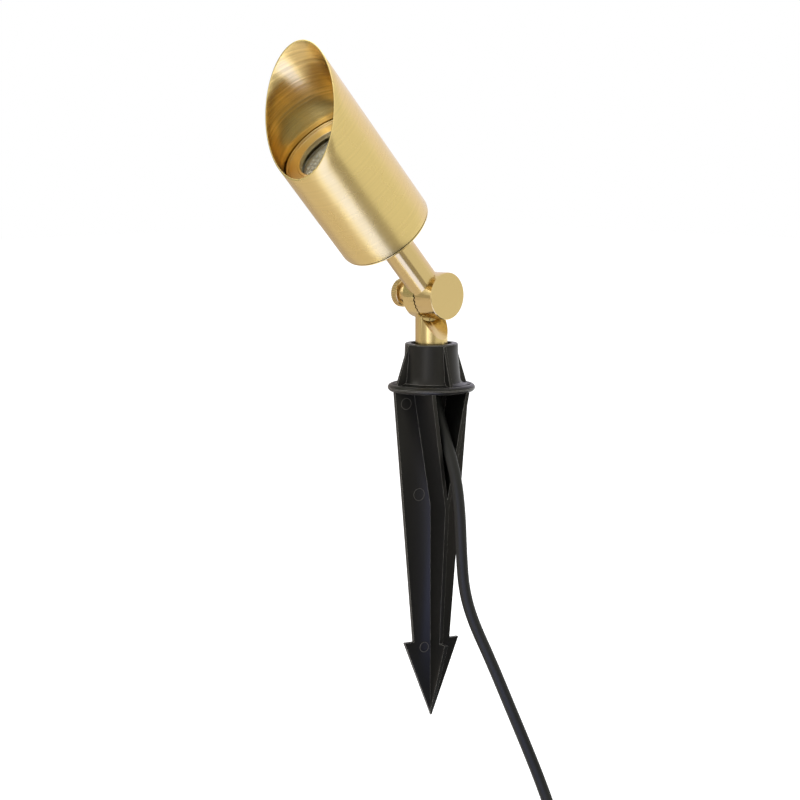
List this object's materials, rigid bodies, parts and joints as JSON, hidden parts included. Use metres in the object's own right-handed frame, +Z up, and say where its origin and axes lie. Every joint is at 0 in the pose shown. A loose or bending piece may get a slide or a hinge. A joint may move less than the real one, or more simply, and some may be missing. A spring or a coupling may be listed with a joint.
{
  "type": "garden spike spotlight",
  "caption": "Brass garden spotlight with a slanted shroud and tilting knuckle, standing on a black plastic ground stake with its lead.",
  "frame": {"origin": "centre of the stake flange's underside, on the axis of the stake and stem, where the flange meets the soil", "axes": "+Z up along the stake and stem, the knuckle pivots about X with its thumbscrew towards -X, the lamp aims and leans towards -Y"},
  "size_m": [0.1681, 0.1432, 0.4992],
  "materials": {
    "black_plastic": "moulded, faint sheen",
    "brass": "turned, unlacquered",
    "brass_inner": "turned, darker inside",
    "black_rubber": "matt",
    "seal_rubber": "matt",
    "silicone": "translucent grey",
    "clear_glass": "clear, toughened",
    "lamp_glass": "lightly ribbed",
    "reflector_film": "bright",
    "ceramic": "unglazed",
    "plated_steel": "zinc plated",
    "white_sleeving": "silicone sleeving",
    "brown_insulation": "smooth",
    "blue_insulation": "smooth",
    "ferrule_metal": "tinned",
    "tie_plastic": "nylon"
  },
  "bodies": {
    "ground_stake": {"stake": "black_plastic", "lead_cable": "black_rubber", "lead_coil": "black_rubber", "coil_tie": "tie_plastic", "core_brown": "brown_insulation", "core_blue": "blue_insulation", "core_ferrules": "ferrule_metal"},
    "stem": {"lower_knuckle_arm": "brass", "stem_gland": "seal_rubber", "stem_leads": "white_sleeving", "knuckle_seal_ring": "seal_rubber", "thumbscrew_washer": "brass"},
    "clamp_screw": {"thumbscrew": "brass"},
    "lamp_head": {"upper_knuckle_arm": "brass", "rear_cap": "brass", "cap_seal_ring": "seal_rubber", "lamp_housing": "brass_inner", "housing_seal_rings": "seal_rubber", "front_glass": "clear_glass", "glass_gasket": "silicone", "bezel_ring": "brass_inner", "lamp_reflector": "reflector_film", "lamp_lens": "lamp_glass", "lamp_base": "ceramic", "lamp_pins": "plated_steel", "lamp_holder": "ceramic", "holder_bracket": "plated_steel", "bracket_screws": "plated_steel", "lamp_leads": "white_sleeving", "neck_gland": "seal_rubber"},
    "glare_shroud": {"shroud": "brass"}
  },
  "joints": [
    {"name": "stem_turn", "type": "hinge", "parent": "ground_stake", "child": "stem", "pos_m": [0, 0, 0.03], "axis": [0, 0, 1], "range_deg": [-90, 90]},
    {"name": "head_tilt", "type": "hinge", "parent": "stem", "child": "lamp_head", "pos_m": [0, 0, 0.06], "axis": [1, 0, 0], "range_deg": [-134, 46]},
    {"name": "thumbscrew_turn", "type": "hinge", "parent": "stem", "child": "clamp_screw", "pos_m": [0, 0, 0.06], "axis": [1, 0, 0], "range_deg": [-360, 0]},
    {"name": "shroud_turn", "type": "hinge", "parent": "lamp_head", "child": "glare_shroud", "pos_m": [0, 0, 0.06], "axis": [0, -0.6947, 0.7193], "continuous": true}
  ]
}
